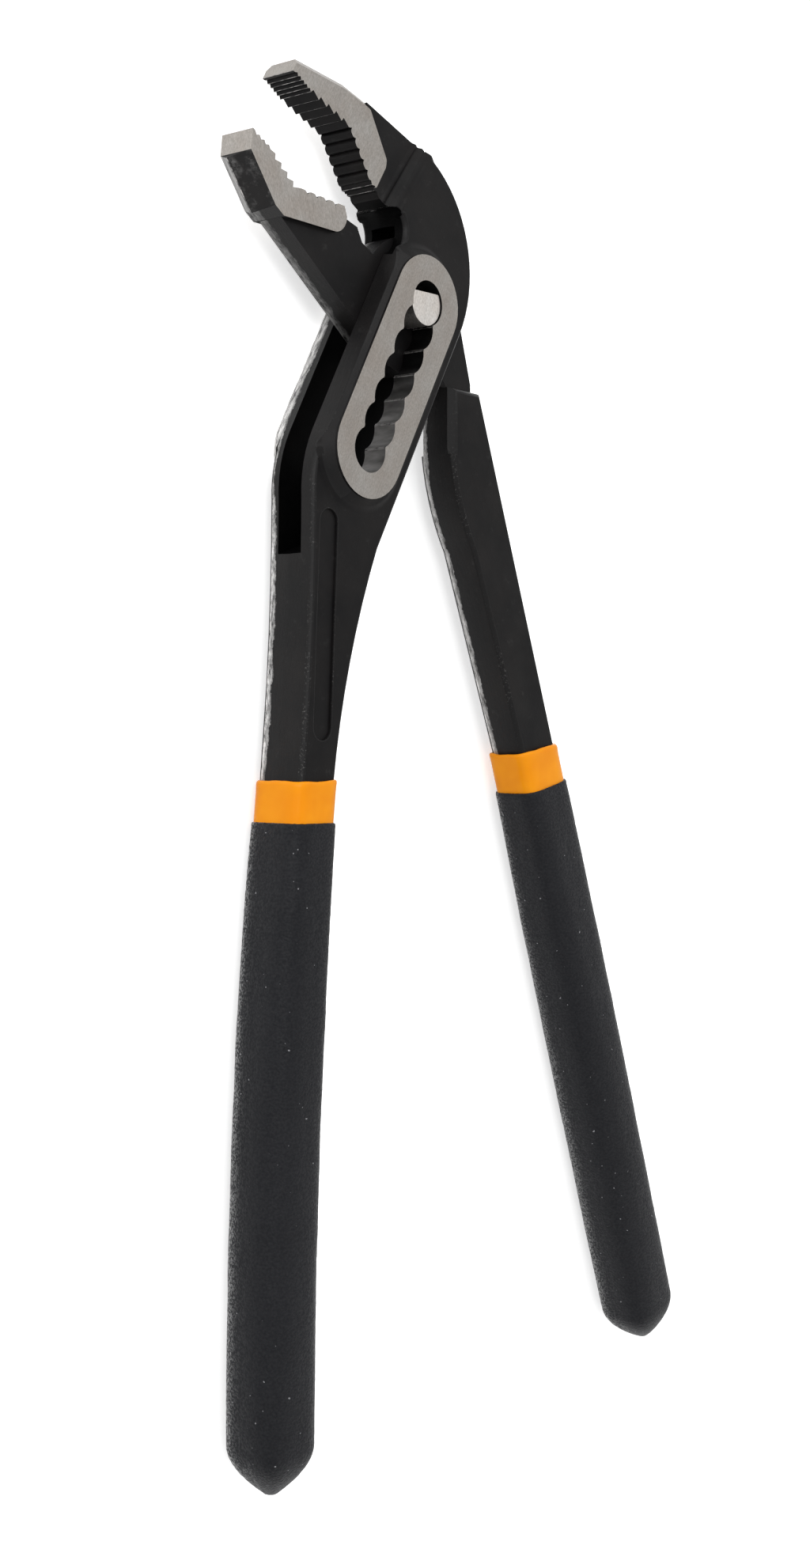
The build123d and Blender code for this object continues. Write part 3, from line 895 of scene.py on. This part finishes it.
def make_camera():
    """The photograph's view: from the tool's left and above, with the jaws at the top of the frame."""
    camera = bpy.data.objects.new("photo_view", bpy.data.cameras.new("photo_view"))
    camera.data.sensor_fit = "VERTICAL"
    camera.data.sensor_height = film_height
    camera.data.lens = film_height * focal_pixels / photo_height
    camera.data.clip_start = 0.01
    seen_upright = Euler([math.radians(turn) for turn in camera_turn]).to_matrix().to_4x4()
    laid_down = Matrix.Rotation(math.radians(-90), 4, "X")
    camera.matrix_world = Matrix.Translation(place(*camera_place)) @ laid_down @ seen_upright
    bpy.context.scene.collection.objects.link(camera)
    bpy.context.scene.camera = camera


# Build

bpy.context.scene.view_settings.view_transform = "Standard"

jaw_tone, boss_tone, pin_tone = (0.375, 0.36, 0.34), (0.35, 0.335, 0.315), (0.68, 0.66, 0.635)
scale_finish = black_forging()
dark_finishes = [worn_edge(), tooth_crest(), slot_wall(), torn_flash(), scuffed_scale(), painted_shade_black()]
neck_finish = trimmed_side("neck_side", 0.7, 0.7, -33, 0.3)
box_side = trimmed_side("box_side", 3.0, 4.3, 20, 1.2)
handle_side = trimmed_side("handle_side", 1.9, 1.9, -14, 1.0)
ground_boss = ground_steel("ground_boss", 28, boss_tone)
ground_jaw = ground_steel("ground_jaw", -14, jaw_tone)
outer_finishes = [scale_finish, ground_boss, box_side, *dark_finishes, neck_finish]
inner_finishes = [scale_finish, ground_jaw, handle_side, *dark_finishes, neck_finish]
amber, charcoal = amber_dip(), charcoal_dip()

outer_look, inner_look = (outer_finish, outer_finishes), (inner_finish, inner_finishes)
make_lever("outer_lever", "outer_forging", "outer", body_half, soften_step, *outer_look)
make_lever("inner_lever", "inner_forging", "inner", handle_half, shift_back_ridge, *inner_look)
make_pin(ground_steel("ground_pin", 12, pin_tone))

left_axis = (left_band_top, left_tip, left_bow)
right_axis = (right_band_top, right_tip, right_bow)
make_band("left", left_axis, left_band)
make_band("right", right_axis, right_band)
make_grip("left", left_axis, left_band, left_cover)
make_grip("right", right_axis, right_band, right_cover)

make_floor()
make_world()
softbox("jaw_side_box", (-0.2, 1.0, 0.45), 0.7, 3.0)
softbox("left_box", (-0.9, 0.4, 0.25), 0.5, 1.6)
softbox("upper_left_box", (-0.62, 0.32, 0.75), 0.35, 2.4)
softbox("handle_side_box", (0.3, -0.8, 0.7), 0.6, 1.0)
softbox("crown_box", (0.30, 0.52, 0.80), 0.25, 0.9)
make_camera()
